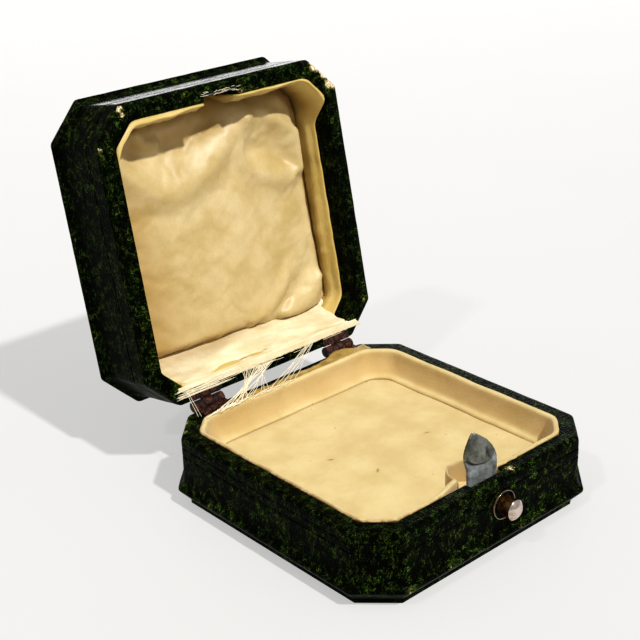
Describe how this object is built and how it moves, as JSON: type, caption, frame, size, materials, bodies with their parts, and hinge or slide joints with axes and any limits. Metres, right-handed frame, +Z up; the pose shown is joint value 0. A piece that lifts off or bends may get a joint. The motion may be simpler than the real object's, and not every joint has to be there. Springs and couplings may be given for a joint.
{
  "type": "ring box",
  "caption": "Small leather-covered ring box standing open: hinged deep lid with puffed satin pad, padded base, push-button catch with a hooked tongue.",
  "frame": {"origin": "centre of the base's underside, on the surface the box stands on", "axes": "+Z up, -Y the front with the push button, +Y the hinge side, +X to the right seen from the front"},
  "size_m": [0.0562, 0.0867, 0.0679],
  "materials": {
    "leather": "glossy grained dark green leather, worn",
    "panel_leather": "smooth near-black leather",
    "carcass_wood": "plain softwood, covered",
    "plush": "short cream pile",
    "satin": "champagne satin",
    "card": "grey-brown card",
    "corroded_brass": "red-brown corroded",
    "catch_steel": "dull grey steel",
    "button_brass": "dark brown tarnish",
    "button_steel": "bright domed cap, spotted"
  },
  "bodies": {
    "base": {"base_cover": "leather", "base_frame": "carcass_wood", "base_board": "carcass_wood", "base_panel": "panel_leather", "base_lining_wall": "plush", "base_floor_card": "card", "base_floor_pad": "plush", "base_hinge_nails": "corroded_brass", "catch_nails": "catch_steel", "catch_clamp": "catch_steel", "catch_spring": "catch_steel", "button_ferrule": "button_steel", "hinge_left_base_leaf": "corroded_brass", "hinge_right_base_leaf": "corroded_brass", "hinge_left_pin": "corroded_brass", "hinge_right_pin": "corroded_brass"},
    "lid": {"lid_cover": "leather", "lid_frame": "carcass_wood", "lid_board": "carcass_wood", "lid_panel": "panel_leather", "lid_hinge_nails": "corroded_brass", "keeper_plate": "catch_steel", "lid_lining_wall": "satin", "lid_pad_card": "card", "lid_satin_pad": "satin", "gusset_strip": "satin", "hinge_left_lid_leaf": "corroded_brass", "hinge_right_lid_leaf": "corroded_brass"},
    "button": {"button_barrel": "button_brass", "button_cap": "button_steel", "button_stem": "catch_steel", "button_collar": "catch_steel"},
    "tongue": {"catch_tongue": "catch_steel", "tongue_rivets": "catch_steel"}
  },
  "joints": [
    {"name": "lid_hinge", "type": "hinge", "parent": "base", "child": "lid", "pos_m": [0, 0.0283, 0.0136], "axis": [-1, 0, 0], "range_deg": [-101.2, 0]},
    {"name": "button_press", "type": "slide", "parent": "base", "child": "button", "axis": [0, 1, 0], "range_m": [0, 0.0005], "stiffness_N_per_m": 1500, "springref_m": -0.0007},
    {"name": "catch_pivot", "type": "hinge", "parent": "base", "child": "tongue", "pos_m": [-0.0002, -0.02525, 0.0042], "axis": [-1, 0, 0], "range_deg": [0, 6.6], "deforming": ["catch_spring"]}
  ],
  "couplings": [
    {"joint": "catch_pivot", "follows": "button_press", "rad_per_m": 227.27}
  ]
}
